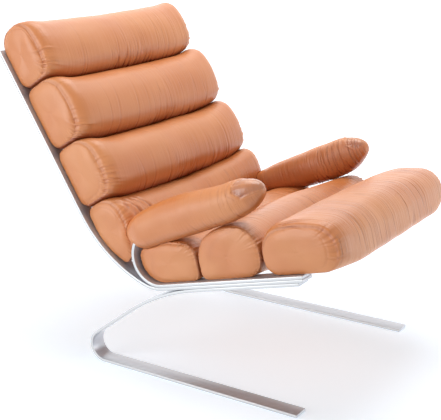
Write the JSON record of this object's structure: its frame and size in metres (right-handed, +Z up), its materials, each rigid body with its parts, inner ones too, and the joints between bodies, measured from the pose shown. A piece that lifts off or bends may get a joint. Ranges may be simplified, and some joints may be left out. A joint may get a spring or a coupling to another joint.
{
  "type": "cantilever lounge chair",
  "caption": "Low lounge chair with leather rolls across flat spring-steel strips that bend into a cantilever base, a back and two padded arms.",
  "frame": {"origin": "on the floor, under the middle of the chair's bounding box", "axes": "+X to the sitter's left, +Y to the rear, +Z up"},
  "size_m": [0.682, 0.9888, 0.8824],
  "materials": {
    "spring_steel": "satin ground flat faces, brighter edges",
    "slat_steel": "zinc plated",
    "bolt_steel": "zinc plated",
    "glide_plastic": "matte black",
    "roll_leather": "soft semi-matte cognac leather with fine wrinkles",
    "arm_leather": "soft semi-matte cognac leather with fine wrinkles",
    "foam": "open cell foam"
  },
  "bodies": {
    "floor_base": {"base_runner_left": "spring_steel", "base_runner_right": "spring_steel", "floor_glides_left": "glide_plastic", "floor_glides_right": "glide_plastic"},
    "sprung_seat": {"arm_sleeve_cover_left": "arm_leather", "arm_sleeve_cover_right": "arm_leather", "arm_sleeve_foam_left": "foam", "arm_sleeve_foam_right": "foam", "arm_strip_left": "spring_steel", "arm_strip_right": "spring_steel", "back_bolts_left": "bolt_steel", "back_bolts_right": "bolt_steel", "back_strip_left": "spring_steel", "back_strip_right": "spring_steel", "base_spring_left": "spring_steel", "base_spring_right": "spring_steel", "front_seat_roll_cover": "roll_leather", "front_seat_roll_foam": "foam", "front_seat_roll_slat": "slat_steel", "head_roll_cover": "roll_leather", "head_roll_foam": "foam", "head_roll_slat": "slat_steel", "lumbar_roll_cover": "roll_leather", "lumbar_roll_foam": "foam", "lumbar_roll_slat": "slat_steel", "middle_back_roll_cover": "roll_leather", "middle_back_roll_foam": "foam", "middle_back_roll_slat": "slat_steel", "middle_seat_roll_cover": "roll_leather", "middle_seat_roll_foam": "foam", "middle_seat_roll_slat": "slat_steel", "rear_seat_roll_cover": "roll_leather", "rear_seat_roll_foam": "foam", "rear_seat_roll_slat": "slat_steel", "seat_bolts_left": "bolt_steel", "seat_bolts_right": "bolt_steel", "upper_back_roll_cover": "roll_leather", "upper_back_roll_foam": "foam", "upper_back_roll_slat": "slat_steel"}
  },
  "joints": [
    {"name": "base_flex", "type": "hinge", "parent": "floor_base", "child": "sprung_seat", "pos_m": [0, 0.21654, 0.0465], "axis": [1, 0, 0], "range_deg": [-2, 6], "stiffness_Nm_per_rad": 2400, "springref_deg": -1.3}
  ]
}
